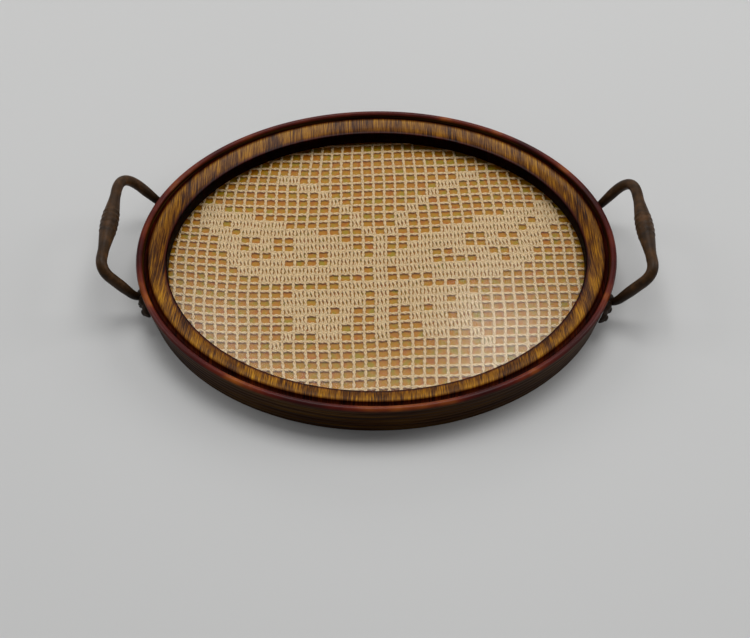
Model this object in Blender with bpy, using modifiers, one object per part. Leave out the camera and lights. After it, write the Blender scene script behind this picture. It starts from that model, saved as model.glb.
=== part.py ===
"""Oval dresser tray: lace under glass in a grained wood frame, with two cast handles.

Metres, +Z up. The origin is at the middle of the tray, on the surface that it stands on.
X runs from handle to handle. An inset is a distance in from the tray's widest outline.
"""
import math

import bmesh
import bpy
from mathutils import Matrix, Vector

MM = 0.001

# Overall sizes
TRAY_LENGTH = 240.5 * MM
TRAY_WIDTH = 207.5 * MM
TRAY_HEIGHT = 20.2 * MM

# Clearances
GAP = 0.3 * MM             # between faces that touch
EDGE_CLEARANCE = 0.4 * MM  # round the edge of a panel that drops into place

# Layers, from the table up
FELT_THICKNESS = 1.0 * MM
BOARD_THICKNESS = 2.6 * MM
CLOTH_THICKNESS = 0.4 * MM
LACE_THICKNESS = 0.8 * MM
GLASS_THICKNESS = 2.0 * MM

# Side hoop
HOOP_THICKNESS = 3.2 * MM
HOOP_LEAN = 3.2 * MM      # how far the foot sits in from the bead

# Rim moulding
FRAME_WIDTH = 14.7 * MM   # widest outline to the opening
GROOVE_WIDTH = 2.2 * MM
GROOVE_DEPTH = 3.0 * MM   # below the bead's top
BAND_DROP = 1.6 * MM      # band's outer edge below the bead's top
LIP_DROP = 4.6 * MM       # band's inner edge below the bead's top
LIP_ROUND = 1.0 * MM
GLASS_BEARING = 4.5 * MM  # how far the lip covers the rebate

# Brads
BRAD_COUNT = 10
BRAD_RADIUS = 0.55 * MM
BRAD_HEAD_RADIUS = 1.2 * MM
BRAD_HEAD_THICKNESS = 0.5 * MM
BRAD_GRIP = 3.8 * MM      # length inside the moulding

# Handles
GRIP_REACH = 11.5 * MM    # grip's axis beyond the tray's end
GRIP_HEIGHT = 34.0 * MM
ELBOW_SPREAD = 34.5 * MM  # elbow from the handle's middle
ELBOW_ROUNDS = {-1: 8.0 * MM, 1: 15.0 * MM}  # bend's start from its corner, front and back
BAR_RADIUS = 2.7 * MM
GRIP_RADIUS = 4.5 * MM
SWELL_HALF_LENGTH = 19.0 * MM
SWELL_OFFSET = -3.4 * MM  # the swelling sits a little nearer the front
ROOT_SPREAD = 32.0 * MM   # arm's root from the handle's middle
ROOT_SEAT = 1.1 * MM      # bar's end from the back of its foot, so that it clears the hoop
SHOULDER_OUT = 4.2 * MM   # where the arm turns up, from the wall
SHOULDER_HEIGHT = 13.0 * MM
SHOULDER_ROUND = 2.6 * MM
ROOT_TAPER = 12.0 * MM    # length over which the arm reaches its full radius
ROOT_RADIUS = 1.9 * MM
FOOT_HEIGHT = 12.0 * MM
FOOT_THICKNESS = 1.8 * MM
SCREW_SPREADS = (36.7 * MM, 41.7 * MM)
LOBE_RADII = (3.6 * MM, 4.0 * MM, 3.4 * MM)  # round the root and round each screw
HANDLE_SHIFTS = {"left": 4.2 * MM, "right": -0.8 * MM}  # each is fitted by hand, along Y
SIDES = {"left": -1.0, "right": 1.0}

# Handle screws
SCREW_RADIUS = 0.9 * MM
SCREW_HEAD_RADIUS = 1.7 * MM
SCREW_HEAD_HEIGHT = 1.1 * MM
SCREW_BITE = 3.6 * MM     # length inside the moulding

OVAL_SEGMENTS = 96
ROUND_SEGMENTS = 16

# Heights that follow from the layers
HOOP_BOTTOM = 0.0
BRAD_HEAD_BOTTOM = FELT_THICKNESS + GAP
BOARD_BOTTOM = BRAD_HEAD_BOTTOM + BRAD_HEAD_THICKNESS + GAP
BOARD_TOP = BOARD_BOTTOM + BOARD_THICKNESS
CLOTH_BOTTOM = BOARD_TOP + GAP
LACE_BOTTOM = CLOTH_BOTTOM + CLOTH_THICKNESS + GAP
GLASS_BOTTOM = LACE_BOTTOM + LACE_THICKNESS + GAP
LIP_BOTTOM = GLASS_BOTTOM + GLASS_THICKNESS + GAP
RIM_BOTTOM = BOARD_TOP + GAP
BEAD_HEIGHT = TRAY_HEIGHT - HOOP_THICKNESS / 2
HOOP_SLOPE = HOOP_LEAN / (BEAD_HEIGHT - HOOP_BOTTOM)
REBATE_INSET = FRAME_WIDTH - GLASS_BEARING


def wall_inset(height):
    """Inset of the hoop's outer face at a height."""
    return HOOP_SLOPE * (BEAD_HEIGHT - height)


def rim_inset(height):
    """Inset of the moulding's outer face, which lies against the hoop."""
    return wall_inset(height) + HOOP_THICKNESS + GAP


BRAD_INSET = (rim_inset(RIM_BOTTOM) + REBATE_INSET) / 2
BOARD_INSET = wall_inset(BOARD_BOTTOM) + HOOP_THICKNESS + EDGE_CLEARANCE
FELT_INSET = HOOP_LEAN + HOOP_THICKNESS + EDGE_CLEARANCE


def oval_point(inset, angle, height=0.0):
    return Vector(((TRAY_LENGTH / 2 - inset) * math.cos(angle),
                   (TRAY_WIDTH / 2 - inset) * math.sin(angle), height))


def wall_frame(side, y):
    """Point on the hoop's outer face at FOOT_HEIGHT, with its outward normal."""
    inset = wall_inset(FOOT_HEIGHT)
    a = TRAY_LENGTH / 2 - inset
    b = TRAY_WIDTH / 2 - inset
    x = side * a * math.sqrt(1 - (y / b) ** 2)
    flat = Vector((x / a ** 2, y / b ** 2, 0)).normalized()
    normal = (flat - Vector((0, 0, HOOP_SLOPE))).normalized()
    return Vector((x, y, FOOT_HEIGHT)), normal


def clear_scene():
    for obj in list(bpy.data.objects):
        bpy.data.objects.remove(obj)


def new_collection(name):
    collection = bpy.data.collections.new(name)
    bpy.context.scene.collection.children.link(collection)
    return collection


def material(name, colour, roughness, metallic=0.0, alpha=1.0):
    made = bpy.data.materials.new(name)
    made.use_nodes = True
    shader = made.node_tree.nodes["Principled BSDF"]
    shader.inputs["Base Color"].default_value = (*colour, 1.0)
    shader.inputs["Roughness"].default_value = roughness
    shader.inputs["Metallic"].default_value = metallic
    shader.inputs["Alpha"].default_value = alpha
    made.diffuse_color = (*colour, alpha)
    return made


def add_mesh(name, mesh, collection, finish=None, matrix=None):
    obj = bpy.data.objects.new(name, mesh)
    collection.objects.link(obj)
    if finish:
        mesh.materials.clear()
        mesh.materials.append(finish)
    if matrix:
        obj.matrix_world = matrix
    return obj


def smooth(obj, angle=35.0):
    obj.data.shade_smooth()
    obj.data.set_sharp_from_angle(angle=math.radians(angle))


def mesh_from_curve(curve_obj):
    """The curve's evaluated mesh with its caps welded; the curve is removed."""
    bpy.context.view_layer.update()
    evaluated = curve_obj.evaluated_get(bpy.context.evaluated_depsgraph_get())
    mesh = bpy.data.meshes.new_from_object(evaluated)
    bm = bmesh.new()
    bm.from_mesh(mesh)
    bmesh.ops.remove_doubles(bm, verts=bm.verts, dist=0.01 * MM)
    bmesh.ops.recalc_face_normals(bm, faces=bm.faces)
    bm.to_mesh(mesh)
    bm.free()
    bpy.data.objects.remove(curve_obj)
    return mesh


def poly_curve(name, points, collection):
    curve = bpy.data.curves.new(name, "CURVE")
    curve.dimensions = "3D"
    spline = curve.splines.new("POLY")
    spline.points.add(len(points) - 1)
    for target, point in zip(spline.points, points):
        target.co = (*point, 1.0)
    obj = bpy.data.objects.new(name, curve)
    collection.objects.link(obj)
    return obj


def oval_panel(name, inset, bottom, thickness, collection, finish):
    """Flat oval panel: a one-metre-radius disc scaled to the oval, inset all round."""
    bm = bmesh.new()
    bmesh.ops.create_cone(bm, cap_ends=True, segments=OVAL_SEGMENTS, radius1=1.0, radius2=1.0,
                          depth=1.0)
    size = Vector((TRAY_LENGTH / 2 - inset, TRAY_WIDTH / 2 - inset, thickness))
    bmesh.ops.scale(bm, vec=size, verts=bm.verts)
    mesh = bpy.data.meshes.new(name)
    bm.to_mesh(mesh)
    bm.free()
    place = Matrix.Translation((0, 0, bottom + thickness / 2))
    return add_mesh(name, mesh, collection, finish, place)


def oval_moulding(name, profile, collection, finish):
    """A profile of (inset, height) points, carried round the oval.

    Each profile point runs round its own oval, so the wall keeps its width all the way.
    """
    bm = bmesh.new()
    rings = []
    for i in range(OVAL_SEGMENTS):
        angle = math.tau * i / OVAL_SEGMENTS
        rings.append([bm.verts.new(oval_point(inset, angle, height)) for inset, height in profile])
    for ring, following in zip(rings, rings[1:] + rings[:1]):
        for j in range(len(profile)):
            k = (j + 1) % len(profile)
            bm.faces.new((ring[j], following[j], following[k], ring[k]))
    bmesh.ops.recalc_face_normals(bm, faces=bm.faces)
    mesh = bpy.data.meshes.new(name)
    bm.to_mesh(mesh)
    bm.free()
    obj = add_mesh(name, mesh, collection, finish)
    smooth(obj)
    return obj


def hoop_profile():
    radius = HOOP_THICKNESS / 2
    profile = [(HOOP_LEAN, HOOP_BOTTOM)]
    steps = 8
    for i in range(steps + 1):
        angle = math.pi * i / steps
        profile.append((radius - radius * math.cos(angle), BEAD_HEIGHT + radius * math.sin(angle)))
    profile.append((HOOP_LEAN + HOOP_THICKNESS, HOOP_BOTTOM))
    return profile


def rim_profile():
    groove_floor = TRAY_HEIGHT - GROOVE_DEPTH
    groove_start = rim_inset(groove_floor)
    band_start = groove_start + GROOVE_WIDTH
    band_end = FRAME_WIDTH - LIP_ROUND
    band_high = TRAY_HEIGHT - BAND_DROP
    band_low = TRAY_HEIGHT - LIP_DROP
    profile = [(rim_inset(RIM_BOTTOM), RIM_BOTTOM), (groove_start, groove_floor)]
    profile.append((band_start - GROOVE_WIDTH / 3, groove_floor))
    steps = 6
    for i in range(steps + 1):
        share = i / steps
        profile.append((band_start + (band_end - band_start) * share,
                        band_high - (band_high - band_low) * share ** 1.5))
    profile.append((FRAME_WIDTH - LIP_ROUND * 0.3, band_low - LIP_ROUND * 0.3))
    profile.append((FRAME_WIDTH, band_low - LIP_ROUND))
    profile.append((FRAME_WIDTH, LIP_BOTTOM))
    profile.append((REBATE_INSET, LIP_BOTTOM))
    profile.append((REBATE_INSET, RIM_BOTTOM))
    return profile


def turned(name, profile, collection, finish, matrix):
    """A (radius, height) profile, top to bottom, turned about its own Z with a Screw modifier."""
    mesh = bpy.data.meshes.new(name)
    points = [(radius, 0.0, height) for radius, height in profile]
    mesh.from_pydata(points, [(i, i + 1) for i in range(len(points) - 1)], [])
    obj = add_mesh(name, mesh, collection, finish, matrix)
    screw = obj.modifiers.new("Turn", "SCREW")
    screw.steps = ROUND_SEGMENTS
    screw.render_steps = ROUND_SEGMENTS
    screw.use_merge_vertices = True
    screw.merge_threshold = 0.01 * MM
    return obj


def drill(name, radius, start, end, cutters):
    """A round cutter from one point to another."""
    run = end - start
    bm = bmesh.new()
    bmesh.ops.create_cone(bm, cap_ends=True, segments=ROUND_SEGMENTS, radius1=radius,
                          radius2=radius, depth=run.length)
    mesh = bpy.data.meshes.new(name)
    bm.to_mesh(mesh)
    bm.free()
    turn = run.to_track_quat("Z", "Y").to_matrix().to_4x4()
    obj = add_mesh(name, mesh, cutters, None, Matrix.Translation((start + end) / 2) @ turn)
    obj.hide_render = True
    obj.display_type = "WIRE"
    return obj


def boolean(obj, other, operation):
    modifier = obj.modifiers.new(operation.title() + "_" + other.name, "BOOLEAN")
    modifier.operation = operation
    modifier.object = other
    modifier.solver = "EXACT"


def rounded_route(points, rounds, steps=6):
    """Points along straight runs; each bend starts and ends a given distance from its corner."""
    route = [points[0]]
    for before, corner, after, distance in zip(points, points[1:], points[2:], rounds):
        start = corner + (before - corner).normalized() * distance
        end = corner + (after - corner).normalized() * distance
        for i in range(steps + 1):
            t = i / steps
            route.append(start * (1 - t) ** 2 + corner * 2 * t * (1 - t) + end * t ** 2)
    return route + [points[-1]]


def bar_radius(point, middle_y, root_distance):
    """Thin at the roots, swelling at the middle of the grip."""
    from_middle = abs(point.y - middle_y)
    if point.z > GRIP_HEIGHT - GAP and from_middle < SWELL_HALF_LENGTH:
        swell = (0.5 + 0.5 * math.cos(math.pi * from_middle / SWELL_HALF_LENGTH)) ** 0.7
        return BAR_RADIUS + (GRIP_RADIUS - BAR_RADIUS) * swell
    share = min(1.0, root_distance / ROOT_TAPER)
    return ROOT_RADIUS + (BAR_RADIUS - ROOT_RADIUS) * share


def handle_route(side, shift):
    """From one foot, out to the shoulder, up to the elbow, along the grip and down again."""
    grip_x = side * (TRAY_LENGTH / 2 + GRIP_REACH)
    half = []
    for turn in (-1, 1):
        wall, normal = wall_frame(side, shift + turn * ROOT_SPREAD)
        root = wall + normal * (GAP + ROOT_SEAT)
        shoulder = wall + Vector((normal.x, normal.y, 0)).normalized() * SHOULDER_OUT
        shoulder.z = SHOULDER_HEIGHT
        elbow = Vector((grip_x, shift + turn * ELBOW_SPREAD, GRIP_HEIGHT))
        half.append([root, shoulder, elbow])
    front, back = half
    swell = SWELL_HALF_LENGTH
    middle = shift + SWELL_OFFSET
    grip = [Vector((grip_x, middle + swell * i / 8, GRIP_HEIGHT)) for i in range(-8, 9)]
    first = rounded_route(front + [grip[0]], [SHOULDER_ROUND, ELBOW_ROUNDS[-1]])
    last = rounded_route(back + [grip[-1]], [SHOULDER_ROUND, ELBOW_ROUNDS[1]])
    return first + grip[1:-1] + last[::-1]


def handle(name, side, shift, parts, cutters, finish):
    route = handle_route(side, shift)
    bar = poly_curve(name + "_bar", route, parts)
    bar.data.bevel_depth = 1.0
    bar.data.bevel_resolution = 4
    bar.data.use_fill_caps = True
    for point, place in zip(bar.data.splines[0].points, route):
        reach = min((place - route[0]).length, (place - route[-1]).length)
        point.radius = bar_radius(place, shift + SWELL_OFFSET, reach)
    obj = add_mesh(name, mesh_from_curve(bar), parts, finish)
    for turn in (-1, 1):
        end = "front" if turn < 0 else "back"
        for i, (spread, radius) in enumerate(zip((ROOT_SPREAD, *SCREW_SPREADS), LOBE_RADII)):
            wall, normal = wall_frame(side, shift + turn * spread)
            lobe = drill(f"{name}_{end}_lobe_{i + 1}", radius, wall + normal * GAP,
                         wall + normal * (GAP + FOOT_THICKNESS), cutters)
            boolean(obj, lobe, "UNION")
    return obj


def screws(side_name, handle_obj, hoop, rim, parts, cutters, finish):
    """Round-headed screws through each foot and the hoop into the moulding, with their holes."""
    side = SIDES[side_name]
    shift = HANDLE_SHIFTS[side_name]
    head_seat = GAP + FOOT_THICKNESS + GAP
    depth = GAP + HOOP_THICKNESS + SCREW_BITE
    profile = [(0.0, SCREW_HEAD_HEIGHT)]
    steps = 4
    for i in range(1, steps + 1):
        angle = math.pi / 2 * i / steps
        profile.append((SCREW_HEAD_RADIUS * math.sin(angle), SCREW_HEAD_HEIGHT * math.cos(angle)))
    profile.append((SCREW_RADIUS, 0.0))
    profile.append((SCREW_RADIUS, -head_seat - depth))
    profile.append((0.0, -head_seat - depth - SCREW_RADIUS))
    for turn in (-1, 1):
        end = "front" if turn < 0 else "back"
        for i, spread in enumerate(SCREW_SPREADS):
            name = f"handle_screw_{side_name}_{end}_{i + 1}"
            wall, normal = wall_frame(side, shift + turn * spread)
            turn_matrix = normal.to_track_quat("Z", "Y").to_matrix().to_4x4()
            place = Matrix.Translation(wall + normal * head_seat) @ turn_matrix
            smooth(turned(name, profile, parts, finish, place))
            hole = drill(name + "_hole", SCREW_RADIUS + GAP,
                         wall - normal * (depth + SCREW_RADIUS + GAP),
                         wall + normal * (head_seat + SCREW_HEAD_RADIUS), cutters)
            for piece in (handle_obj, hoop, rim):
                boolean(piece, hole, "DIFFERENCE")


def brads(board, rim, parts, cutters, finish):
    """Small nails up through the board into the moulding, with their holes."""
    head_top = BRAD_HEAD_BOTTOM + BRAD_HEAD_THICKNESS
    tip = RIM_BOTTOM + BRAD_GRIP
    profile = [(0.0, tip), (BRAD_RADIUS, tip - 2 * BRAD_RADIUS), (BRAD_RADIUS, head_top),
               (BRAD_HEAD_RADIUS, head_top), (BRAD_HEAD_RADIUS, BRAD_HEAD_BOTTOM),
               (0.0, BRAD_HEAD_BOTTOM)]
    for i in range(BRAD_COUNT):
        place = oval_point(BRAD_INSET, math.tau * i / BRAD_COUNT)
        name = f"brad_{i + 1:02d}"
        turned(name, profile, parts, finish, Matrix.Translation(place))
        hole = drill(name + "_hole", BRAD_RADIUS + GAP, place + Vector((0, 0, head_top)),
                     place + Vector((0, 0, tip + GAP)), cutters)
        boolean(board, hole, "DIFFERENCE")
        boolean(rim, hole, "DIFFERENCE")


def main():
    clear_scene()
    parts = new_collection("oval_dresser_tray")
    cutters = new_collection("cutters")
    hoop_wood = material("stained_wood_hoop", (0.085, 0.030, 0.014), 0.35)
    rim_wood = material("grained_wood_rim", (0.250, 0.150, 0.030), 0.30)
    glass = material("clear_glass", (0.95, 0.96, 0.95), 0.03, alpha=0.25)
    lace_thread = material("ecru_cotton", (0.74, 0.58, 0.38), 0.90)
    gold_cloth = material("gold_satin", (0.42, 0.20, 0.03), 0.50)
    fibreboard = material("brown_hardboard", (0.16, 0.09, 0.05), 0.85)
    felt_wool = material("brown_felt", (0.05, 0.035, 0.025), 0.95)
    bronze = material("bronzed_casting", (0.070, 0.042, 0.028), 0.45, 0.6)
    steel = material("dark_steel", (0.10, 0.09, 0.08), 0.45, 0.9)

    hoop = oval_moulding("side_hoop", hoop_profile(), parts, hoop_wood)
    rim = oval_moulding("rim_moulding", rim_profile(), parts, rim_wood)
    inner = REBATE_INSET + EDGE_CLEARANCE
    oval_panel("glass_pane", inner, GLASS_BOTTOM, GLASS_THICKNESS, parts, glass)
    oval_panel("lace_panel", inner, LACE_BOTTOM, LACE_THICKNESS, parts, lace_thread)
    oval_panel("backing_cloth", inner, CLOTH_BOTTOM, CLOTH_THICKNESS, parts, gold_cloth)
    board = oval_panel("backing_board", BOARD_INSET, BOARD_BOTTOM, BOARD_THICKNESS, parts, fibreboard)
    oval_panel("base_felt", FELT_INSET, 0.0, FELT_THICKNESS, parts, felt_wool)
    brads(board, rim, parts, cutters, steel)
    for side_name, side in SIDES.items():
        name = "handle_" + side_name
        casting = handle(name, side, HANDLE_SHIFTS[side_name], parts, cutters, bronze)
        screws(side_name, casting, hoop, rim, parts, cutters, bronze)
        smooth(casting)


main()
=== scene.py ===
# %% [markdown]
# # An oval dresser tray with crochet lace under glass
# This lesson dresses a plain solid model of a small tray. The solids fix every size and
# place, and this script makes what the eye enjoys: grained wood, crocheted cotton, a
# clear pane and two bronzed castings.
#
# We load the solids first and note the box they fill.

# %% Load the solid model
import math
import random

import bmesh
import bpy
import numpy as np
from mathutils import Matrix, Vector


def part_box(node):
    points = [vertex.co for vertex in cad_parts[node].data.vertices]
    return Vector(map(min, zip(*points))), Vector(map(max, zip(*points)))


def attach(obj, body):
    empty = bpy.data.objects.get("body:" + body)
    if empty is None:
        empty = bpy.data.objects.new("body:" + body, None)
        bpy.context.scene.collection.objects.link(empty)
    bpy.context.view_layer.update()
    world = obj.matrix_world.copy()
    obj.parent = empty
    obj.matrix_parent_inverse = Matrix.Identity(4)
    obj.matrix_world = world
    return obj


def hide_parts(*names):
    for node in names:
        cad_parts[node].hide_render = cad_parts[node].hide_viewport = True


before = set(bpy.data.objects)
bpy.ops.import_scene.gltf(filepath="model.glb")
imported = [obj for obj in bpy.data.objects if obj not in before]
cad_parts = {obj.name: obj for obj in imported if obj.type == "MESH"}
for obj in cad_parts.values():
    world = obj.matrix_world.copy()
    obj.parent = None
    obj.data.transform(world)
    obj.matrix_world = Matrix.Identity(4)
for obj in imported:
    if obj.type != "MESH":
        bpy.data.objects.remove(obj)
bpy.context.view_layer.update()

MM = 0.001
ROOT = "root"

# %% [markdown]
# ## Colour and node helpers
# Paint charts and screens give colours as sRGB hex codes. Blender's shaders work in
# linear light, so one function converts them. A second small function adds a shader node
# together with its settings and its links, which keeps each material short to read. A third
# turns the real size of a pattern, in millimetres, into the scale that its texture needs.

# %% Helpers for colour and nodes
def linear(code):
    """A colour such as #C08040 as linear RGBA."""
    values = [int(code[i:i + 2], 16) / 255 for i in (1, 3, 5)]
    return (*[v / 12.92 if v <= 0.04045 else ((v + 0.055) / 1.055) ** 2.4 for v in values], 1.0)


def add(tree, kind, inputs=None, stops=None, **settings):
    """Add a node. inputs maps a socket to a value or to the socket that feeds it."""
    made = tree.nodes.new("ShaderNode" + kind)
    for name, value in settings.items():
        setattr(made, name, value)
    for place, value in (inputs or {}).items():
        if isinstance(value, bpy.types.NodeSocket):
            tree.links.new(value, made.inputs[place])
        else:
            made.inputs[place].default_value = value
    if stops:
        elements = made.color_ramp.elements
        while len(elements) < len(stops):
            elements.new(0.5)
        for element, (position, code) in zip(elements, stops):
            element.position = position
            element.color = linear(code)
    return made


def new_material(name):
    """An empty node tree with an output; returns the material and its tree."""
    made = bpy.data.materials.new(name)
    made.use_nodes = True
    made.node_tree.nodes.clear()
    return made, made.node_tree


def finish_material(tree, surface):
    """Link the finished surface to a new output."""
    add(tree, "OutputMaterial", {"Surface": surface})


def mapped(tree, *sizes_mm):
    """Coordinates stretched so that a pattern's features have these sizes along X, Y and Z.

    One size alone serves all three directions.
    """
    sizes = sizes_mm * 3 if len(sizes_mm) == 1 else sizes_mm
    place = add(tree, "TexCoord").outputs["Object"]
    scale = [1.0 / (size * MM) for size in sizes]
    return add(tree, "Mapping", {"Vector": place, "Scale": scale}).outputs[0]


print("mid grey in linear light:", round(linear("#808080")[0], 3))

# %% [markdown]
# ## The camera
# The tray is seen from the front and well above, as someone standing at the dresser sees
# it. Writing the view as an elevation, a distance and a small offset keeps it easy to
# change. The lens is worked out from a 36 mm wide sensor.

# %% Camera
ELEVATION = math.radians(49.7)
YAW = math.radians(0.5)
ROLL = math.radians(-0.7)
DISTANCE = 568.3 * MM
OFFSET = (-0.7 * MM, -25.6 * MM)  # to the side and upwards, square to the view
SENSOR_MM = 36.0
LENS_MM = 52.8

back = Vector((math.sin(YAW) * math.cos(ELEVATION), -math.cos(YAW) * math.cos(ELEVATION),
               math.sin(ELEVATION)))
level = Vector((math.cos(YAW), math.sin(YAW), 0))
upright = back.cross(level)
right = math.cos(ROLL) * level + math.sin(ROLL) * upright
up = -math.sin(ROLL) * level + math.cos(ROLL) * upright
camera = bpy.data.objects.new("camera", bpy.data.cameras.new("camera"))
bpy.context.scene.collection.objects.link(camera)
camera.data.sensor_width = SENSOR_MM
camera.data.lens = LENS_MM
camera.data.clip_start = 0.01
camera.matrix_world = Matrix.Translation(
    back * DISTANCE + right * OFFSET[0] + up * OFFSET[1]) @ Matrix(
    (right, up, back)).transposed().to_4x4()
bpy.context.scene.camera = camera
print("camera stands at, mm:", [round(c / MM) for c in camera.matrix_world.translation])

# %% [markdown]
# ## Floor and light
# A pale seamless floor and big soft lights suit glossy things: varnish and glass show the
# lights as broad, quiet sheens. The main light hangs above and a little behind, with low
# windows at the back and on both sides. So the tray's shadow falls towards us and shows how
# tall the wall is. Two small lamps hang further back, where the glass mirrors them towards
# the camera as two soft patches. A dim sky fills the shadows.

# %% Floor and lights
FLOOR_SIZE = 6.0
FLOOR_DROP = 0.1 * MM              # so that floor and felt don't share a plane
SKY_STRENGTH = 0.20
floor_mesh = bpy.data.meshes.new("floor")
bm = bmesh.new()
bmesh.ops.create_grid(bm, x_segments=1, y_segments=1, size=FLOOR_SIZE / 2)
bm.to_mesh(floor_mesh)
bm.free()
floor = bpy.data.objects.new("floor", floor_mesh)
floor.location.z = -FLOOR_DROP
bpy.context.scene.collection.objects.link(floor)
paper, tree = new_material("matte_white_paper")
soft = add(tree, "TexNoise", {"Vector": mapped(tree, 833), "Scale": 1.0})
tone = add(tree, "ValToRGB", {"Fac": soft.outputs[0]}, stops=[(0.3, "#C8C8C7"), (0.7, "#CFCFCE")])
sheet = add(tree, "BsdfPrincipled", {"Base Color": tone.outputs[0], "Roughness": 0.7})
finish_material(tree, sheet.outputs[0])
floor_mesh.materials.append(paper)


def area_light(name, place, size, watts):
    """A rectangular light that points at the tray."""
    lamp = bpy.data.lights.new(name, "AREA")
    lamp.shape = "RECTANGLE"
    lamp.size, lamp.size_y = size
    lamp.energy = watts
    made = bpy.data.objects.new(name, lamp)
    made.location = place
    made.rotation_euler = (-Vector(place)).to_track_quat("-Z", "Y").to_euler()
    bpy.context.scene.collection.objects.link(made)


# place and size in metres, then the power in watts
area_light("overhead_softbox", (0.1, 0.42, 1.5), (1.2, 0.8), 12.4)
area_light("window_back", (-0.1, 1.5, 0.75), (1.6, 0.5), 3.0)
area_light("window_left", (-1.2, 0.4, 0.9), (0.8, 0.8), 4.8)
area_light("window_right", (1.2, 0.35, 0.8), (0.7, 0.7), 5.0)
area_light("ceiling_lamp_right", (0.27, 1.15, 1.5), (0.20, 0.20), 0.30)
area_light("ceiling_lamp_left", (-0.40, 1.15, 1.5), (0.20, 0.20), 0.14)
sky = bpy.data.worlds.new("soft_sky")
sky.use_nodes = True
sky.node_tree.nodes["Background"].inputs["Color"].default_value = linear("#F4F5F7")
sky.node_tree.nodes["Background"].inputs["Strength"].default_value = SKY_STRENGTH
bpy.context.scene.world = sky
bpy.context.scene.view_settings.view_transform = "Standard"

# %% [markdown]
# ## Sizes taken from the solids
# Each measure that a piece needs is read from a solid's box. Only shapes inside a box,
# such as how wide the groove is, are given here, in millimetres.

# %% Sizes
hoop_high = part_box("side_hoop")[1]
HALF_LENGTH = hoop_high.x
HALF_WIDTH = hoop_high.y
RIM_TOP = hoop_high.z
GLASS_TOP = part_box("glass_pane")[1].z
LACE_LOW, LACE_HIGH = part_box("lace_panel")
CLOTH_LOW, CLOTH_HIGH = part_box("backing_cloth")
FRAME_WIDTH = 14.7 * MM
HOOP_THICKNESS = 3.2 * MM
HOOP_LEAN = 3.2 * MM
GAP = 0.3 * MM
BEAD_HEIGHT = RIM_TOP - HOOP_THICKNESS / 2
RIM_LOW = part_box("rim_moulding")[0].z
PANEL_INSET = HALF_LENGTH - LACE_HIGH.x
print("glass lies", round((RIM_TOP - GLASS_TOP) / MM, 1), "mm below the rim's top")


def wall_inset(height):
    """Inset of the hoop's outer face, which leans out from foot to bead."""
    return HOOP_LEAN * (1 - height / BEAD_HEIGHT)


def oval_point(inset, angle, height):
    """A point on the oval that lies inset all round from the widest outline."""
    return ((HALF_LENGTH - inset) * math.cos(angle), (HALF_WIDTH - inset) * math.sin(angle), height)


def new_piece(name, verts, faces, material, smooth=True):
    """An object made of vertices and faces, with one material."""
    mesh = bpy.data.meshes.new(name)
    mesh.from_pydata(verts, [], faces)
    mesh.materials.append(material)
    if smooth:
        mesh.shade_smooth()
    made = bpy.data.objects.new(name, mesh)
    bpy.context.scene.collection.objects.link(made)
    return made


def place_piece(piece, slot, *nodes):
    """Ride on the tray and stand for the plain solids; slot is not used."""
    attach(piece, ROOT)
    if nodes:
        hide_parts(*nodes)
    print(piece.name, "has", len(piece.data.polygons), "faces")


def sweep_oval(name, profile, segments, material):
    """Carry a closed (inset, height) profile round the oval and store each inset in mm."""
    verts = []
    for i in range(segments):
        angle = math.tau * i / segments
        verts += [oval_point(inset, angle, height) for inset, height in profile]
    count = len(profile)
    faces = []
    for i in range(segments):
        here, there = i * count, (i + 1) % segments * count
        faces += [(here + j, here + (j + 1) % count, there + (j + 1) % count, there + j)
                  for j in range(count)]
    made = new_piece(name, verts, faces, material)
    stored = made.data.attributes.new("inset_mm", "FLOAT", "POINT")
    stored.data.foreach_set("value", [inset / MM for inset, _ in profile] * segments)
    return made


# %% [markdown]
# ## Varnished wood with painted graining
# The moulding is plain wood. A decorator brushed a dark brown glaze over a golden ground
# and dragged it while wet, then varnished it. So the streaks are fine across the drag,
# about 0.5 mm, and long with it, about 13 mm. The groove and the inner edge carry painted
# shade, almost black, and the varnish is a clear glossy coat.

# %% Grained moulding finish
grained_wood, tree = new_material("grained_and_varnished_wood")
fine = add(tree, "TexNoise", {"Vector": mapped(tree, 0.5, 13, 6),
                              "Scale": 1.0, "Detail": 4.0, "Roughness": 0.65})
broad = add(tree, "TexNoise", {"Vector": mapped(tree, 5, 22, 12),
                               "Scale": 1.0, "Detail": 2.0})
both = add(tree, "Mix", {0: 0.34, 2: fine.outputs[0], 3: broad.outputs[0]}, data_type="FLOAT")
glaze = add(tree, "ValToRGB", {"Fac": both.outputs[0]},
            stops=[(0.38, "#260F02"), (0.46, "#583103"), (0.54, "#885804"), (0.63, "#BA8412")])
inset = add(tree, "Attribute", attribute_name="inset_mm")
shown = add(tree, "MapRange", {"Value": inset.outputs["Fac"], "From Min": 3.0, "From Max": 15.0})
# painted shade: the groove and the inner edge over the glass are darkened in the colour; the band
# between keeps the glaze's own colour
painted_groove_and_lip_shade = add(tree, "ValToRGB", {"Fac": shown.outputs[0]},
             stops=[(0.10, "#5A2418"), (0.24, "#7A4A38"), (0.36, "#FFFFFF"), (0.78, "#E8DCC8"),
                    (0.90, "#7A3A1C"), (0.96, "#240E06")])
gloss = add(tree, "ValToRGB", {"Fac": shown.outputs[0]},
            stops=[(0.24, "#202020"), (0.36, "#5C5C5C"), (0.88, "#545454"), (0.95, "#141414")])
wood_colour = add(tree, "Mix", {0: 1.0, 6: glaze.outputs[0], 7: painted_groove_and_lip_shade.outputs[0]},
                  data_type="RGBA", blend_type="MULTIPLY")
drag = add(tree, "Bump", {"Height": fine.outputs[0], "Strength": 0.18, "Distance": 0.1 * MM})
varnish = add(tree, "BsdfPrincipled", {
    "Base Color": wood_colour.outputs[2], "Normal": drag.outputs[0], "Roughness": 0.42,
    "IOR": 1.5, "Specular IOR Level": gloss.outputs[0], "Coat Weight": gloss.outputs[0],
    "Coat Roughness": 0.14})
finish_material(tree, varnish.outputs[0])

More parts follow.
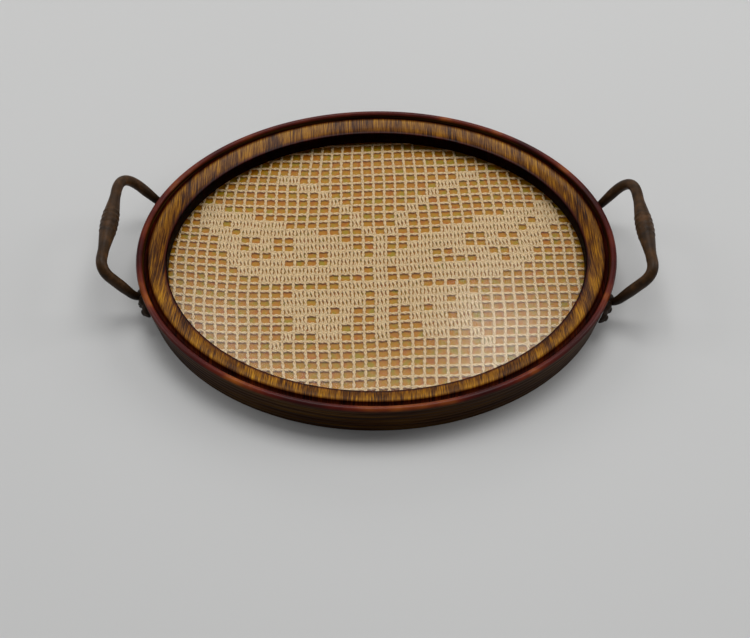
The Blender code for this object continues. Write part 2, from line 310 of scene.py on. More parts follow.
# %% [markdown]
# ## The moulding
# Its section is a groove, a band that slopes in towards the glass and a small rounded lip
# over the glass. We draw that section once and carry it round the oval.

# %% Grained moulding
GROOVE_DEPTH = 3.0 * MM    # this and the two drops are from the bead's top
GROOVE_WIDTH = 2.2 * MM
BAND_DROP = 1.6 * MM
LIP_DROP = 4.6 * MM
GLASS_BEARING = 4.5 * MM   # how far the lip reaches over the rebate
GROOVE_FLOOR = RIM_TOP - GROOVE_DEPTH
GROOVE_START = wall_inset(GROOVE_FLOOR) + HOOP_THICKNESS + GAP
BAND_START = GROOVE_START + GROOVE_WIDTH
BAND_HIGH = RIM_TOP - BAND_DROP
BAND_LOW = RIM_TOP - LIP_DROP
LIP_ROUND = 1.0 * MM
LIP_BOTTOM = GLASS_TOP + GAP
REBATE_INSET = FRAME_WIDTH - GLASS_BEARING
GROOVE_STEPS, BAND_STEPS, LIP_STEPS = 6, 18, 6


def moulding_section():
    """Groove, sloping band and rounded lip, then back round the rebate."""
    section = [(wall_inset(RIM_LOW) + HOOP_THICKNESS + GAP, RIM_LOW), (GROOVE_START, GROOVE_FLOOR)]
    for i in range(GROOVE_STEPS + 1):
        share = i / GROOVE_STEPS
        section.append((GROOVE_START + (BAND_START - GROOVE_START) * (0.25 + 0.75 * share),
                        GROOVE_FLOOR + (BAND_HIGH - GROOVE_FLOOR) * share ** 3))
    for i in range(1, BAND_STEPS + 1):
        share = i / BAND_STEPS
        section.append((BAND_START + (FRAME_WIDTH - LIP_ROUND - BAND_START) * share,
                        BAND_HIGH - (BAND_HIGH - BAND_LOW) * share ** 1.5))
    for i in range(1, LIP_STEPS + 1):
        angle = math.pi / 2 * i / LIP_STEPS
        section.append((FRAME_WIDTH - LIP_ROUND + LIP_ROUND * math.sin(angle),
                        BAND_LOW - LIP_ROUND + LIP_ROUND * math.cos(angle)))
    return section + [(FRAME_WIDTH, LIP_BOTTOM), (REBATE_INSET, LIP_BOTTOM), (REBATE_INSET, RIM_LOW)]


OVAL_SEGMENTS = 384
moulding = sweep_oval("grained_moulding", moulding_section(), OVAL_SEGMENTS, grained_wood)
moulding.data.set_sharp_from_angle(angle=math.radians(50))
place_piece(moulding, "rim_wood", "rim_moulding")

# %% [markdown]
# ## The bent hoop
# A thin strip of wood was steamed and bent round the moulding. Its top edge is rounded to
# a bead of a redder brown, with orange patches on it that are painted highlights. Shallow
# reeds run round the side. They are real dips in the mesh, 0.18 mm deep, because they catch the
# light.

# %% Bent hoop finish
stained_wood, tree = new_material("mahogany_stained_wood")
long_grain = add(tree, "TexNoise", {
    "Vector": mapped(tree, 40, 40, 0.9),
    "Scale": 1.0, "Detail": 4.0, "Roughness": 0.6})
side = add(tree, "ValToRGB", {"Fac": long_grain.outputs[0]},
           stops=[(0.36, "#1C0A03"), (0.50, "#321A05"), (0.64, "#4E340C")])
bead_stain_and_highlight_noise = add(tree, "TexNoise", {"Vector": mapped(tree, 28),
                             "Scale": 1.0, "Detail": 3.0})
# painted highlight: the orange stop at 0.70 stands for light caught on the bead; the darker reds
# below it are the bead's stain
bead = add(tree, "ValToRGB", {"Fac": bead_stain_and_highlight_noise.outputs[0]},
           stops=[(0.36, "#340402"), (0.48, "#4E0E05"), (0.58, "#66220A"), (0.70, "#985014")])
height = add(tree, "SeparateXYZ", {"Vector": add(tree, "TexCoord").outputs["Object"]})
top = add(tree, "MapRange", {"Value": height.outputs["Z"], "From Min": BEAD_HEIGHT - 0.2 * MM,
                             "From Max": BEAD_HEIGHT + 1.0 * MM})
stain = add(tree, "Mix", {0: top.outputs[0], 6: side.outputs[0], 7: bead.outputs[0]},
            data_type="RGBA")
rubbed = add(tree, "MapRange", {"Value": top.outputs[0], "To Min": 0.03, "To Max": 0.13})
pores = add(tree, "Bump", {"Height": long_grain.outputs[0], "Strength": 0.2, "Distance": 0.1 * MM})
stained = add(tree, "BsdfPrincipled", {
    "Base Color": stain.outputs[2], "Normal": pores.outputs[0], "Roughness": 0.45,
    "IOR": 1.5, "Specular IOR Level": rubbed.outputs[0], "Coat Weight": rubbed.outputs[0],
    "Coat Roughness": 0.16})
finish_material(tree, stained.outputs[0])

# %% Bent hoop
REED_COUNT = 6
REED_DEPTH = 0.18 * MM
WALL_STEPS, BEAD_STEPS = 48, 16


def hoop_section():
    """Reeded outer face, round bead, and the plain inner face."""
    section = []
    for i in range(WALL_STEPS + 1):
        share = i / WALL_STEPS
        dip = REED_DEPTH * (0.5 - 0.5 * math.cos(math.tau * REED_COUNT * share))
        section.append((HOOP_LEAN * (1 - share) + dip, BEAD_HEIGHT * share))
    radius = HOOP_THICKNESS / 2
    for i in range(1, BEAD_STEPS + 1):
        angle = math.pi * i / BEAD_STEPS
        section.append((radius - radius * math.cos(angle), BEAD_HEIGHT + radius * math.sin(angle)))
    return section + [(HOOP_LEAN + HOOP_THICKNESS, 0.0)]


hoop = sweep_oval("bent_hoop", hoop_section(), OVAL_SEGMENTS, stained_wood)
hoop.data.set_sharp_from_angle(angle=math.radians(50))
place_piece(hoop, "hoop_wood", "side_hoop")

# %% [markdown]
# ## Gold backing cloth
# Behind the lace lies a thin satin with a variegated dye, between gold, orange and olive.
# Patches of dye about 6 mm across give each window of the net its own hue. The cloth
# isn't perfectly flat, so it gets low ripples, a tenth of a millimetre high.

# %% Gold backing cloth
satin, tree = new_material("variegated_gold_satin")
dye = add(tree, "TexNoise", {"Vector": mapped(tree, 6),
                             "Scale": 1.0, "Detail": 2.0, "Roughness": 0.6})
hue = add(tree, "ValToRGB", {"Fac": dye.outputs[0]},
          stops=[(0.34, "#AE8E02"), (0.46, "#C48800"), (0.58, "#C67E00"), (0.72, "#BC6802")])
threads = add(tree, "TexWave", {"Vector": mapped(tree, 1, 1, 1000),
                                "Scale": 0.5, "Distortion": 1.0}, bands_direction="DIAGONAL")
weft = add(tree, "Bump", {"Height": threads.outputs["Fac"], "Strength": 0.1, "Distance": 0.05 * MM})
gold = add(tree, "BsdfPrincipled", {
    "Base Color": hue.outputs[0], "Normal": weft.outputs[0], "Roughness": 0.6,
    "Specular IOR Level": 0.2})
finish_material(tree, gold.outputs[0])


RIPPLE_HEIGHT = 0.1 * MM
RIPPLE_LENGTHS = (9 * MM, 7 * MM)
CLOTH_RINGS, CLOTH_SEGMENTS = 40, 128


def rippled_oval(name, inset, low, high, material):
    """A closed thin oval whose upper face has low ripples."""
    rings, segments = CLOTH_RINGS, CLOTH_SEGMENTS
    half = (HALF_LENGTH - inset, HALF_WIDTH - inset)
    verts, faces = [], []
    for layer in (0, 1):
        height = high if layer else low
        verts.append((0, 0, height))
        for r in range(1, rings + 1):
            for i in range(segments):
                angle = math.tau * i / segments
                x = half[0] * r / rings * math.cos(angle)
                y = half[1] * r / rings * math.sin(angle)
                wave = math.sin(x / RIPPLE_LENGTHS[0]) * math.sin(y / RIPPLE_LENGTHS[1])
                wave = RIPPLE_HEIGHT * (wave - 1) / 2
                verts.append((x, y, height + wave * layer * (1 - (r / rings) ** 8)))
    stride = 1 + rings * segments
    for layer in (0, 1):
        base = layer * stride
        for i in range(segments):
            k = (i + 1) % segments
            centre = (base, base + 1 + i, base + 1 + k)
            faces.append(centre if layer else centre[::-1])
            for r in range(rings - 1):
                a, b = base + 1 + r * segments, base + 1 + (r + 1) * segments
                quad = (a + i, b + i, b + k, a + k)
                faces.append(quad if layer else quad[::-1])
    outer = 1 + (rings - 1) * segments
    for i in range(segments):
        k = (i + 1) % segments
        faces.append((outer + i, outer + k, stride + outer + k, stride + outer + i))
    return new_piece(name, verts, faces, material, smooth=False)


cloth = rippled_oval("gold_cloth", PANEL_INSET, CLOTH_LOW.z, CLOTH_HIGH.z, satin)
place_piece(cloth, "gold_cloth", "backing_cloth")

# %% [markdown]
# ## Filet crochet
# Filet crochet is a square net. Each window is one stitch wide and one row high. Chain
# stitches run across, and tall posts, called double crochet, run up. Where the pattern
# wants a solid square, two more posts fill the window, each a little slanted because the
# hook wraps them all the same way. The butterfly is a chart, as in a pattern book: each
# line is one row, from the body out to the wing's tip, and the other half mirrors it. A
# full stop is an open window and a cross is a filled one.

# %% Butterfly chart
HALF_CHART = """
........xx.......
......xx.........
.....x...........
....x............
...x...........xx
..x.........xxxxx
..x......xxxxx.xx
.x....xxxxxxx.xx.
x...xxxx..x..xx..
x..xxxxx..xx.xx..
x.xxx..xxx..xx...
xxxxx....xx.xx...
x.xxxxxxxxxxx....
x....xxxxxx......
xxxx.............
x.xxxxxx.........
x.xxxx.xx........
x..x.xxxx........
x..xxx.x.........
x...xxxx.........
x...xx..x........
.........x.......
""".split()
CELL = (5.9 * MM, 5.4 * MM)       # at the chart's middle, where the work is tightest
NET_CENTRE = (2.3 * MM, -11.0 * MM)
CENTRE_ROW = 13                   # the chart row that lies on the net's centre
NET_MARGIN = 2.5 * MM             # how far the net is drawn under the lip
print("filled windows in half the chart:", sum(row.count("x") for row in HALF_CHART))


def filled(column, row):
    """Whether the window is solid. Row 0 is the chart's first line."""
    if not 0 <= row < len(HALF_CHART) or abs(column) >= len(HALF_CHART[row]):
        return False
    return HALF_CHART[row][abs(column)] == "x"


# %% [markdown]
# A hand-made net is never square. Laid in askew and pulled to the oval, this one climbs
# to the right, sags in the middle, has looser rows at its top and bottom, and draws in
# at its corners. Each habit is one small term, in millimetres per cell, cell squared or
# cell cubed. A slow wander on top moves each crossing a little further.

# %% How the net was pulled
CLIMB = 0.24 * MM        # right side higher
LEAN = -0.09 * MM        # top leans left
FAN = 0.012 * MM         # upper columns spread
SAG = 0.007 * MM         # rows bow upwards at both sides
CURL = -0.0008 * MM      # and flatten again at the right edge
LOOSE_ROWS = 0.0013 * MM
CORNER_DRAW = -0.0014 * MM
SIDE_DRAW = -0.0007 * MM
WANDER = 0.3 * MM


def crossing(column, row):
    """Where the net's lines cross, at the upper left corner of a window."""
    c, r = column - 0.5, CENTRE_ROW - row + 0.5
    x = NET_CENTRE[0] + CELL[0] * c + LEAN * r + FAN * c * r
    x += CORNER_DRAW * c * r ** 2 + SIDE_DRAW * c ** 3
    y = NET_CENTRE[1] + CELL[1] * r + CLIMB * c + SAG * c ** 2 + CURL * c ** 3
    y += LOOSE_ROWS * r ** 3
    x += WANDER * math.sin(row * 0.9 + column * 0.31)
    y += WANDER * math.sin(column * 0.55 + row * 0.23 + 1.0)
    return np.array((x, y))


print("body line at the middle, mm:", round((crossing(0, CENTRE_ROW)[0] + CELL[0] / 2) / MM, 1))


# %% [markdown]
# ## Crochet cotton
# Crochet cotton is matte. It is spun and plied, and each stitch wraps two or three
# strands about each other. So a bar of the net is modelled as two strands in a twist.
# Strands lie flatter than they are wide, because the glass presses on them.

# %% Crochet finish
cotton, tree = new_material("ecru_crochet_cotton")
fibre = add(tree, "TexNoise", {
    "Vector": mapped(tree, 0.5),
    "Scale": 1.0, "Detail": 3.0})
shade = add(tree, "ValToRGB", {"Fac": fibre.outputs[0]},
            stops=[(0.30, "#D8AA76"), (0.52, "#F6D2A6"), (0.72, "#FEE6C0")])
fuzz = add(tree, "Bump", {"Height": fibre.outputs[0], "Strength": 0.3, "Distance": 0.1 * MM})
yarn = add(tree, "BsdfPrincipled", {
    "Base Color": shade.outputs[0], "Normal": fuzz.outputs[0], "Roughness": 0.85,
    "Specular IOR Level": 0.2})
finish_material(tree, yarn.outputs[0])

# %% The net
random.seed(7)
STRAND_HALF_WIDTH = 0.56 * MM
STRAND_HALF_HEIGHT = 0.25 * MM
TWIST_WIDTH = 0.48 * MM
TWIST_HEIGHT = 0.13 * MM
STRAND_STEPS = 4
STRAND_SIDES = 4
LACE_MIDDLE = (LACE_LOW.z + LACE_HIGH.z) / 2


def under_lip(point):
    """Whether a point lies beyond the edge to which the net is drawn."""
    a = HALF_LENGTH - FRAME_WIDTH + NET_MARGIN
    b = HALF_WIDTH - FRAME_WIDTH + NET_MARGIN
    return (point[0] / a) ** 2 + (point[1] / b) ** 2 > 1


net_verts, net_faces = [], []


def twisted_bar(start, end, phase, width, turns):
    """Two strands in a twist from one crossing to another."""
    run = end - start
    across = np.array((-run[1], run[0])) / np.linalg.norm(run)
    for strand in (0, 1):
        first = len(net_verts)
        for i in range(STRAND_STEPS + 1):
            share = i / STRAND_STEPS
            angle = phase + math.pi * strand + math.tau * turns * share
            middle = start + run * share + across * TWIST_WIDTH * width * math.cos(angle)
            lift = LACE_MIDDLE + TWIST_HEIGHT * math.sin(angle)
            for j in range(STRAND_SIDES):
                around = math.tau * (j + 0.5) / STRAND_SIDES
                spot = middle + across * STRAND_HALF_WIDTH * width * math.cos(around)
                net_verts.append((spot[0], spot[1], lift + STRAND_HALF_HEIGHT * math.sin(around)))
        for i in range(STRAND_STEPS):
            here, there = first + i * STRAND_SIDES, first + (i + 1) * STRAND_SIDES
            for j in range(STRAND_SIDES):
                k = (j + 1) % STRAND_SIDES
                net_faces.append((here + j, there + j, there + k, here + k))
        last = first + STRAND_STEPS * STRAND_SIDES
        net_faces.append(tuple(first + j for j in range(STRAND_SIDES)))
        net_faces.append(tuple(last + j for j in reversed(range(STRAND_SIDES))))


# how wide each kind of bar is, and how often its strands turn about each other
CHAIN = {"width": 1.05, "turns": 1.0}
UPRIGHT = {"width": 1.0, "turns": -1.0}
POST = {"width": 1.05, "turns": -0.5}
POST_SPACES = 3            # two posts share a window out into three
POST_SLANT = 0.05
POST_SWAY = 0.4            # radians
NET_ROWS = range(-6, 28)
NET_COLUMNS = range(-21, 22)
for row in NET_ROWS:
    for column in NET_COLUMNS:
        corner = crossing(column, row)
        beside = crossing(column + 1, row)
        below = crossing(column, row + 1)
        opposite = crossing(column + 1, row + 1)
        if under_lip((corner + opposite) / 2):
            continue
        twisted_bar(corner, beside, random.uniform(0, math.tau), **CHAIN)
        twisted_bar(corner, below, random.uniform(0, math.tau), **UPRIGHT)
        if filled(column, row):
            for i in range(1, POST_SPACES):
                top = corner + (beside - corner) * (i / POST_SPACES - POST_SLANT)
                foot = below + (opposite - below) * (i / POST_SPACES + POST_SLANT)
                twisted_bar(top, foot, random.uniform(-POST_SWAY, POST_SWAY), **POST)
net = new_piece("crochet_net", net_verts, net_faces, cotton)
place_piece(net, "lace_cotton", "lace_panel")

# %% [markdown]
# ## Glass
# The pane is 2 mm window glass. So thin a pane hardly bends light, so it is drawn as see
# through with a mirror on top. The Fresnel node makes the mirror faint from above and
# strong at a grazing look, as real glass is, with its IOR of 1.52. A straight ray leaving
# through the lower face meets the same angle it came in at, so the index is turned over
# there. Without that the lower face would act as a black mirror.

# %% Glass
window_glass, tree = new_material("clear_window_glass")
GLASS_INDEX = 1.52
leaving = add(tree, "NewGeometry").outputs["Backfacing"]
index = add(tree, "MapRange", {"Value": leaving, "To Min": GLASS_INDEX,
                               "To Max": 1 / GLASS_INDEX})
fresnel = add(tree, "Fresnel", {"IOR": index.outputs[0]})
clear = add(tree, "BsdfTransparent", {"Color": linear("#FBFDFB")})
mirror = add(tree, "BsdfAnisotropic", {"Color": linear("#FFFFFF"), "Roughness": 0.16})
pane = add(tree, "MixShader", {0: fresnel.outputs[0], 1: clear.outputs[0], 2: mirror.outputs[0]})
finish_material(tree, pane.outputs[0])


def refinish(node, material):
    """Give one of the plain solids a finish."""
    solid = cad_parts[node]
    solid.data.materials.clear()
    solid.data.materials.append(material)


refinish("glass_pane", window_glass)

# %% [markdown]
# ## Bronzed castings
# Each handle is one sand casting of a soft grey metal, painted with a brown bronze
# lacquer. Its colour is simply darker towards the bottom, from almost black at the feet
# to a warm brown at the grip. The lacquer hides the metal, so the finish is a satin paint
# and not a metal.

# %% Bronzed finish
bronzed, tree = new_material("bronze_lacquered_casting")
cast = add(tree, "TexNoise", {"Vector": mapped(tree, 5),
                              "Scale": 1.0, "Detail": 5.0, "Roughness": 0.6})
lacquer = add(tree, "ValToRGB", {"Fac": cast.outputs[0]},
              stops=[(0.32, "#281A0C"), (0.52, "#3E2914"), (0.72, "#583A1E")])
foot_height = add(tree, "SeparateXYZ", {"Vector": add(tree, "TexCoord").outputs["Object"]})
# darker towards the bottom: from 27 mm down to 14 mm the lacquer's colour turns towards almost black
lower_is_darker = add(tree, "MapRange", {"Value": foot_height.outputs["Z"], "From Min": 14 * MM,
                              "From Max": 27 * MM, "To Min": 0.25, "To Max": 1.0})
lacquer_darker_low = add(tree, "Mix", {0: lower_is_darker.outputs[0], 6: linear("#120A05"), 7: lacquer.outputs[0]},
              data_type="RGBA")
pits = add(tree, "TexNoise", {
    "Vector": mapped(tree, 0.8),
    "Scale": 1.0, "Detail": 2.0})
skin = add(tree, "Bump", {"Height": pits.outputs[0], "Strength": 0.25, "Distance": 0.15 * MM})
metal = add(tree, "BsdfPrincipled", {
    "Base Color": lacquer_darker_low.outputs[2], "Normal": skin.outputs[0], "Roughness": 0.42,
    "Specular IOR Level": 0.14})
finish_material(tree, metal.outputs[0])

# %% [markdown]
# ## Handles
# The bar leaves its foot, turns up at a shoulder, bends at an elbow and runs along a
# swelling grip with five fine rings, then down again. We find points along that route and
# carry a circle along them, whose radius follows the swelling. Each foot is a small leaf
# that lies on the wall.

# %% Handle shape
GRIP_RADIUS = 4.5 * MM
BAR_RADIUS = 2.7 * MM
ROOT_RADIUS = 1.9 * MM
ROOT_TAPER = 12.0 * MM
GRIP_HEIGHT = 34.0 * MM
ELBOW_SPREAD = 34.5 * MM
ELBOW_ROUNDS = {-1: 8.0 * MM, 1: 15.0 * MM}  # bend's start from its corner, front and back
ROOT_SPREAD = 32.0 * MM
ROOT_SEAT = 1.1 * MM       # the bar's end, from the back of its foot
SHOULDER_OUT = 4.2 * MM    # where the arm turns up, from the wall
SHOULDER_HEIGHT = 13.0 * MM
SHOULDER_ROUND = 2.6 * MM
FOOT_HEIGHT = 12.0 * MM
FOOT_THICKNESS = 1.8 * MM
FOOT_END = 45.0 * MM
SCREW_SPREADS = (36.7 * MM, 41.7 * MM)
SWELL_HALF_LENGTH = 19.0 * MM
SWELL_OFFSET = -3.4 * MM
RING_COUNT = 5
RING_SPACING = 3.2 * MM
RING_RISE = 0.22 * MM
RING_WIDTH = 0.16          # as a share of their spacing
ROUTE_STEP = 0.4 * MM
HANDLE_SHIFTS = {"left": 4.2 * MM, "right": -0.8 * MM}
SIDES = {"left": -1.0, "right": 1.0}
GRIP_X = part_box("handle_right")[1].x - GRIP_RADIUS


def wall_frame(side, y, height=FOOT_HEIGHT):
    """A point on the hoop's outer face and the way out of the wood."""
    a = HALF_LENGTH - wall_inset(height)
    b = HALF_WIDTH - wall_inset(height)
    x = side * a * math.sqrt(1 - (y / b) ** 2)
    out = Vector((x / a ** 2, y / b ** 2, 0)).normalized()
    out = (out - Vector((0, 0, HOOP_LEAN / BEAD_HEIGHT))).normalized()
    return Vector((x, y, height)), out


def rounded_route(points, rounds, steps=16):
    """Points along straight runs; each bend starts and ends a given distance from its corner."""
    route = [points[0]]
    for before, corner, after, distance in zip(points, points[1:], points[2:], rounds):
        start = corner + (before - corner).normalized() * distance
        end = corner + (after - corner).normalized() * distance
        for i in range(steps + 1):
            t = i / steps
            route.append(start * (1 - t) ** 2 + corner * 2 * t * (1 - t) + end * t ** 2)
    return route + [points[-1]]


def evenly(route, step):
    """The same route with a point every step."""
    spots = np.array([tuple(p) for p in route])
    runs = np.linalg.norm(np.diff(spots, axis=0), axis=1)
    along = np.concatenate([[0], np.cumsum(runs)])
    wanted = np.linspace(0, along[-1], int(along[-1] / step) + 1)
    return np.stack([np.interp(wanted, along, spots[:, i]) for i in range(3)], -1), wanted


def handle_route(side, shift):
    """From the front root up and along the grip to the back root."""
    middle = Vector((side * GRIP_X, shift + SWELL_OFFSET, GRIP_HEIGHT))
    halves = []
    for turn in (-1, 1):
        wall, out = wall_frame(side, shift + turn * ROOT_SPREAD)
        root = wall + out * (GAP + ROOT_SEAT)
        shoulder = wall + Vector((out.x, out.y, 0)).normalized() * SHOULDER_OUT
        shoulder.z = SHOULDER_HEIGHT
        elbow = Vector((side * GRIP_X, shift + turn * ELBOW_SPREAD, GRIP_HEIGHT))
        corners = [root, shoulder, elbow, middle]
        halves.append(rounded_route(corners, [SHOULDER_ROUND, ELBOW_ROUNDS[turn]]))
    return halves[0] + halves[1][-2::-1]


def bar_radius(point, middle_y, root_distance):
    """Thin at the roots, swelling at the middle of the grip, with raised rings there."""
    away = point[1] - middle_y
    if point[2] > GRIP_HEIGHT - GAP and abs(away) < SWELL_HALF_LENGTH:
        swell = (0.5 + 0.5 * math.cos(math.pi * away / SWELL_HALF_LENGTH)) ** 0.7
        ring = max(math.exp(-((away / RING_SPACING - i) / RING_WIDTH) ** 2)
                   for i in range(-(RING_COUNT // 2), RING_COUNT // 2 + 1))
        return BAR_RADIUS + (GRIP_RADIUS - RING_RISE - BAR_RADIUS) * swell + RING_RISE * ring
    share = min(1.0, root_distance / ROOT_TAPER)
    return ROOT_RADIUS + (BAR_RADIUS - ROOT_RADIUS) * share


def tube(path, radii, sides=28):
    """Vertices and faces of a capped tube along a path."""
    verts, faces = [], []
    side_way = None
    for i, (spot, radius) in enumerate(zip(path, radii)):
        ahead = path[min(i + 1, len(path) - 1)] - path[max(i - 1, 0)]
        ahead = ahead / np.linalg.norm(ahead)
        if side_way is None:
            side_way = np.cross(ahead, (0, 0, 1))
        side_way = side_way - ahead * np.dot(side_way, ahead)
        side_way = side_way / np.linalg.norm(side_way)
        other_way = np.cross(ahead, side_way)
        for j in range(sides):
            angle = math.tau * j / sides
            verts.append(tuple(spot + radius * (side_way * math.cos(angle)
                                                + other_way * math.sin(angle))))
    for i in range(len(path) - 1):
        here, there = i * sides, (i + 1) * sides
        faces += [(here + j, here + (j + 1) % sides, there + (j + 1) % sides, there + j)
                  for j in range(sides)]
    faces.append(tuple(reversed(range(sides))))
    faces.append(tuple((len(path) - 1) * sides + j for j in range(sides)))
    return verts, faces


# %% [markdown]
# A foot is a leaf with three lobes a side. We work in the wall's own terms, along it and
# up it, and raise a low dome with a midrib. The same grid, pressed flat, is its back.

# %% Leaf-shaped feet
LEAF_START = ROOT_SPREAD - 3.6 * MM
LEAF_HALF_HEIGHT = 4.0 * MM
LEAF_RISE = 1.0 * MM
LEAF_LOBES = 3
LEAF_EDGE = 0.35           # thickness at the edge, as a share of the foot's
RIB_RISE = 0.25 * MM
RIB_WIDTH = 0.18           # as a share of half the leaf's height
LEAF_ALONG, LEAF_ACROSS = 48, 14


def leaf_half_height(share):
    """Half the leaf's height: rounded ends, with a notch between lobes."""
    ends = math.sin(math.pi * min(max(share * 0.92 + 0.06, 0.0), 1.0)) ** 0.45
    lobes = 0.72 + 0.28 * abs(math.sin(math.pi * LEAF_LOBES * share))
    return LEAF_HALF_HEIGHT * ends * lobes


def leaf_foot(side, shift, turn):
    """Vertices and faces of one foot. Layer 1 is its domed front and layer 0 its back."""
    verts, faces = [], []
    for layer in (1, 0):
        for i in range(LEAF_ALONG + 1):
            share = i / LEAF_ALONG
            y = shift + turn * (LEAF_START + (FOOT_END - LEAF_START) * share)
            reach = leaf_half_height(share)
            lobe = abs(math.sin(math.pi * LEAF_LOBES * share))
            for j in range(LEAF_ACROSS + 1):
                across = 2 * j / LEAF_ACROSS - 1
                dome = math.sqrt(max(0.0, 1 - across ** 2))
                end = math.sqrt(max(0.0, 1 - (2 * share - 1) ** 6))
                rise = FOOT_THICKNESS * (LEAF_EDGE + (1 - LEAF_EDGE) * dome * end)
                rise += LEAF_RISE * dome * lobe * end
                rise += RIB_RISE * math.exp(-(across / RIB_WIDTH) ** 2)
                wall, out = wall_frame(side, y, FOOT_HEIGHT + reach * across)
                verts.append(tuple(wall + out * (GAP + layer * rise)))
    stride = (LEAF_ALONG + 1) * (LEAF_ACROSS + 1)
    row = LEAF_ACROSS + 1
    for i in range(LEAF_ALONG):
        for j in range(LEAF_ACROSS):
            quad = (i * row + j, (i + 1) * row + j, (i + 1) * row + j + 1, i * row + j + 1)
            faces.append(quad)
            faces.append(tuple(stride + q for q in reversed(quad)))
    edge = [i * row for i in range(LEAF_ALONG)] + [LEAF_ALONG * row + j for j in range(LEAF_ACROSS)]
    edge += [i * row + LEAF_ACROSS for i in range(LEAF_ALONG, 0, -1)]
    edge += [j for j in range(LEAF_ACROSS, 0, -1)]
    for here, there in zip(edge, edge[1:] + edge[:1]):
        faces.append((there, here, stride + here, stride + there))
    return verts, faces


def facing_out(mesh):
    """Turn every face of a closed mesh outwards."""
    bm = bmesh.new()
    bm.from_mesh(mesh)
    bmesh.ops.recalc_face_normals(bm, faces=bm.faces)
    bm.to_mesh(mesh)
    bm.free()


for side_name, side in SIDES.items():
    shift = HANDLE_SHIFTS[side_name]
    path, along = evenly(handle_route(side, shift), ROUTE_STEP)
    radii = [bar_radius(p, shift + SWELL_OFFSET, min(s, along[-1] - s)) for p, s in zip(path, along)]
    verts, faces = tube(path, radii)
    for turn in (-1, 1):
        more_verts, more_faces = leaf_foot(side, shift, turn)
        faces += [tuple(len(verts) + k for k in face) for face in more_faces]
        verts += more_verts
    casting = new_piece("cast_handle_" + side_name, verts, faces, bronzed)
    facing_out(casting.data)
    casting.data.set_sharp_from_angle(angle=math.radians(60))
    place_piece(casting, "bronzed_metal", "handle_" + side_name)

# %% [markdown]
# ## Screws
# Two small round-headed screws hold each foot. A head is a low dome with a sawn slot,
# and the slot is a real cut, because a dark line in it is what says screw.

# %% Round-headed screws
HEAD_RADIUS = 1.7 * MM
HEAD_HEIGHT = 1.1 * MM
SLOT_WIDTH = 0.45 * MM
SLOT_DEPTH = 0.6 * MM


def screw_head(name):
    """A domed head, with its slot cut by a Boolean."""
    bm = bmesh.new()
    bmesh.ops.create_uvsphere(bm, u_segments=32, v_segments=16, radius=HEAD_RADIUS)
    bmesh.ops.bisect_plane(bm, geom=bm.verts[:] + bm.edges[:] + bm.faces[:], plane_co=(0, 0, 0),
                           plane_no=(0, 0, 1), clear_inner=True)
    bmesh.ops.holes_fill(bm, edges=[e for e in bm.edges if e.is_boundary])
    bmesh.ops.scale(bm, vec=(1, 1, HEAD_HEIGHT / HEAD_RADIUS), verts=bm.verts)
    bmesh.ops.recalc_face_normals(bm, faces=bm.faces)
    mesh = bpy.data.meshes.new(name)
    bm.to_mesh(mesh)
    bm.free()
    head = bpy.data.objects.new(name, mesh)
    bpy.context.scene.collection.objects.link(head)
    bm = bmesh.new()
    bmesh.ops.create_cube(bm, size=1.0)
    bmesh.ops.scale(bm, vec=(4 * HEAD_RADIUS, SLOT_WIDTH, 2 * SLOT_DEPTH), verts=bm.verts)
    bmesh.ops.translate(bm, vec=(0, 0, HEAD_HEIGHT), verts=bm.verts)
    saw_mesh = bpy.data.meshes.new("saw")
    bm.to_mesh(saw_mesh)
    bm.free()
    saw = bpy.data.objects.new("saw", saw_mesh)
    bpy.context.scene.collection.objects.link(saw)
    cut = head.modifiers.new("slot", "BOOLEAN")
    cut.operation, cut.object, cut.solver = "DIFFERENCE", saw, "EXACT"
    bpy.context.view_layer.update()
    shaped = bpy.data.meshes.new_from_object(
        head.evaluated_get(bpy.context.evaluated_depsgraph_get()))
    head.modifiers.clear()
    head.data = shaped
    bpy.data.objects.remove(saw)
    shaped.materials.clear()
    shaped.materials.append(bronzed)
    shaped.shade_smooth()
    shaped.set_sharp_from_angle(angle=math.radians(40))
    return head


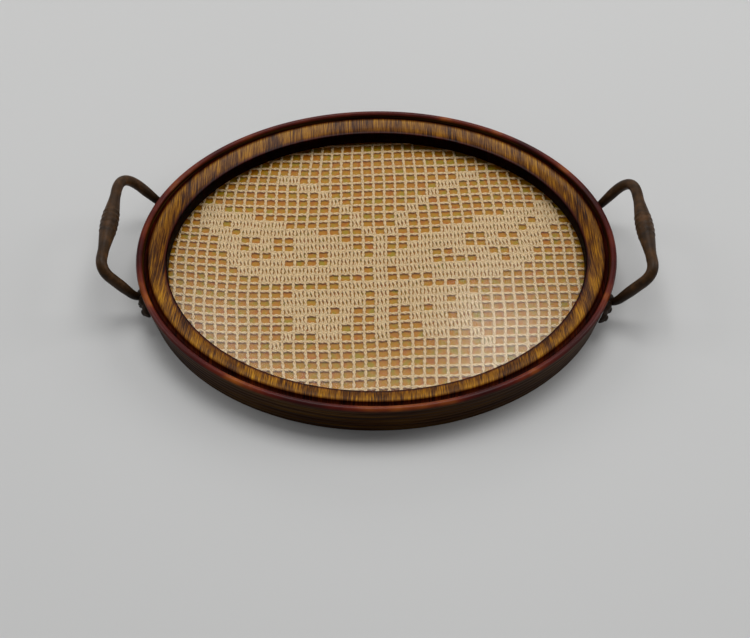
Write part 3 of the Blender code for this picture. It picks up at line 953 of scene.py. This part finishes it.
random.seed(3)
HEAD_SEAT = GAP + FOOT_THICKNESS + LEAF_RISE * 0.5
for side_name, side in SIDES.items():
    for end, turn in (("front", -1), ("back", 1)):
        for i, spread in enumerate(SCREW_SPREADS):
            head = screw_head(f"screw_head_{side_name}_{end}_{i + 1}")
            wall, out = wall_frame(side, HANDLE_SHIFTS[side_name] + turn * spread)
            spin = Matrix.Rotation(random.uniform(0, math.pi), 4, "Z")
            aim = out.to_track_quat("Z", "Y").to_matrix().to_4x4()
            head.data.transform(Matrix.Translation(wall + out * HEAD_SEAT) @ aim @ spin)
            place_piece(head, "bronzed_metal", f"handle_screw_{side_name}_{end}_{i + 1}")

# %% [markdown]
# ## The underside
# Hardboard closes the back, small blued nails hold it, and a felt pad protects the
# dresser. Hardboard is pressed fibre, so its tone is mottled at about 1.5 mm. Felt is
# matted wool with a soft fuzzy edge to its shading, which sheen gives.

# %% Underside finishes
hardboard, tree = new_material("pressed_hardboard")
pulp = add(tree, "TexNoise", {"Vector": mapped(tree, 1.5, 1.5, 1000),
                              "Scale": 1.0, "Detail": 4.0})
board_tone = add(tree, "ValToRGB", {"Fac": pulp.outputs[0]},
                 stops=[(0.35, "#5A4028"), (0.65, "#7A5A3C")])
board = add(tree, "BsdfPrincipled", {"Base Color": board_tone.outputs[0], "Roughness": 0.85})
finish_material(tree, board.outputs[0])
refinish("backing_board", hardboard)

felt, tree = new_material("brown_wool_felt")
wool = add(tree, "TexNoise", {"Vector": mapped(tree, 1.2, 1.2, 1000),
                              "Scale": 1.0, "Detail": 6.0, "Roughness": 0.7})
felt_tone = add(tree, "ValToRGB", {"Fac": wool.outputs[0]},
                stops=[(0.35, "#30241C"), (0.65, "#4A3A2E")])
nap = add(tree, "Bump", {"Height": wool.outputs[0], "Strength": 0.5, "Distance": 0.3 * MM})
pad = add(tree, "BsdfPrincipled", {
    "Base Color": felt_tone.outputs[0], "Normal": nap.outputs[0], "Roughness": 0.95,
    "Sheen Weight": 0.5, "Sheen Roughness": 0.6})
finish_material(tree, pad.outputs[0])
refinish("base_felt", felt)

blued, tree = new_material("blued_steel")
scale_noise = add(tree, "TexNoise", {"Vector": mapped(tree, 1), "Scale": 1.0})
blue = add(tree, "ValToRGB", {"Fac": scale_noise.outputs[0]},
           stops=[(0.35, "#3A3C42"), (0.65, "#5A5C62")])
nail = add(tree, "BsdfPrincipled", {"Base Color": blue.outputs[0], "Roughness": 0.4,
                                    "Metallic": 1.0})
finish_material(tree, nail.outputs[0])
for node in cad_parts:
    if node.startswith("brad_"):
        refinish(node, blued)
